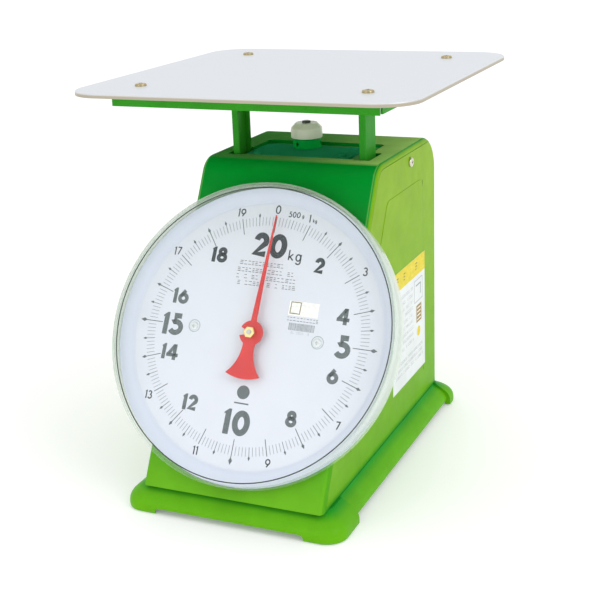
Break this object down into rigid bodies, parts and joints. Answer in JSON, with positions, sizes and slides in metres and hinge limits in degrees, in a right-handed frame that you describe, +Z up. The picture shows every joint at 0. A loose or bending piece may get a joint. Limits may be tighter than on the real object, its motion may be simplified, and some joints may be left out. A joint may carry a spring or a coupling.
{
  "type": "mechanical dial platform scale",
  "caption": "Mechanical dial platform scale: green steel casing on a footed base, large round dial with red pointer, flat square tray on two posts.",
  "frame": {"origin": "on the floor, in the middle of the whole scale's footprint", "axes": "+X to the right seen from the front, +Y to the rear, +Z up; the dial faces -Y and leans back"},
  "size_m": [0.28, 0.3198, 0.3297],
  "materials": {
    "green_paint": "gloss apple-green enamel",
    "stainless_tray": "bright satin stainless sheet",
    "zinc_steel": "zinc-plated sheet and bar",
    "plated_screws": "bright plated",
    "spring_steel": "oiled spring wire",
    "dark_steel": "blackened",
    "brass": "polished",
    "dial_white": "satin white enamel",
    "clear_plastic": "clear styrene",
    "pointer_red": "satin red enamel",
    "knob_cream": "cream moulded plastic",
    "rubber": "matte",
    "label_paper": "printed sticker"
  },
  "bodies": {
    "casing": {"adjuster_plate": "green_paint", "base": "green_paint", "base_screw_1": "plated_screws", "base_screw_2": "plated_screws", "base_screw_3": "plated_screws", "base_screw_4": "plated_screws", "chassis_left": "zinc_steel", "chassis_right": "zinc_steel", "chassis_top": "zinc_steel", "damper_cup": "zinc_steel", "dial_bracket": "zinc_steel", "dial_carrier": "green_paint", "dial_cover": "clear_plastic", "dial_plate": "dial_white", "dial_screw_left": "plated_screws", "dial_screw_right": "plated_screws", "foot_pad_1": "rubber", "foot_pad_2": "rubber", "foot_pad_3": "rubber", "foot_pad_4": "rubber", "front_cover": "green_paint", "knob_collar": "green_paint", "lever_shaft_lower": "zinc_steel", "lever_shaft_upper": "zinc_steel", "movement_bracket": "zinc_steel", "rear_casing": "green_paint", "side_label": "label_paper", "side_screw_left": "plated_screws", "side_screw_right": "plated_screws", "spring_hanger_left": "zinc_steel", "spring_hanger_right": "zinc_steel"},
    "platform": {"tray": "stainless_tray", "tray_frame": "green_paint", "tray_screw_1": "brass", "tray_screw_2": "brass", "tray_screw_3": "brass", "tray_screw_4": "brass", "post_left": "green_paint", "post_right": "green_paint", "post_saddle": "green_paint", "load_bar": "zinc_steel", "foot_bar": "zinc_steel", "rack_arm": "zinc_steel", "spring_foot_left": "zinc_steel", "spring_foot_right": "zinc_steel", "spring_left": "spring_steel", "spring_right": "spring_steel", "damper_piston": "zinc_steel"},
    "rack": {"rack": "zinc_steel"},
    "pointer": {"pointer": "pointer_red", "pointer_arbor": "zinc_steel", "pinion": "brass", "hub_nut": "brass"},
    "lever_upper": {"lever_upper": "zinc_steel", "lever_pin_upper": "zinc_steel"},
    "lever_lower": {"lever_lower": "zinc_steel", "lever_pin_lower": "zinc_steel"},
    "zero_knob": {"zero_knob": "knob_cream", "zero_screw": "dark_steel"}
  },
  "joints": [
    {"name": "tray_sink", "type": "slide", "parent": "casing", "child": "platform", "axis": [0, 0, -1], "range_m": [0, 0.0164], "stiffness_N_per_m": 11959, "springref_m": -0.00156, "deforming": ["spring_left", "spring_right"]},
    {"name": "rack_slide", "type": "slide", "parent": "casing", "child": "rack", "axis": [0, -0.4917, -0.8708], "range_m": [0, 0.0189]},
    {"name": "pointer_turn", "type": "hinge", "parent": "casing", "child": "pointer", "pos_m": [0, -0.0893, 0.1369], "axis": [0, 0.8708, -0.4917], "range_deg": [0, 360]},
    {"name": "lever_upper_swing", "type": "hinge", "parent": "casing", "child": "lever_upper", "pos_m": [0, 0.1069, 0.1498], "axis": [1, 0, 0], "range_deg": [0, 10.8]},
    {"name": "lever_lower_swing", "type": "hinge", "parent": "casing", "child": "lever_lower", "pos_m": [0, 0.1069, 0.0838], "axis": [1, 0, 0], "range_deg": [0, 10.8]},
    {"name": "zero_turn", "type": "hinge", "parent": "casing", "child": "zero_knob", "pos_m": [-0.0122, 0.0553, 0.25], "axis": [0, 0, 1], "range_deg": [-180, 180]}
  ],
  "couplings": [
    {"joint": "rack_slide", "follows": "tray_sink", "ratio": 1.1484},
    {"joint": "pointer_turn", "follows": "tray_sink", "rad_per_m": 382.8},
    {"joint": "lever_upper_swing", "follows": "tray_sink", "rad_per_m": 11.46},
    {"joint": "lever_lower_swing", "follows": "tray_sink", "rad_per_m": 11.46}
  ]
}
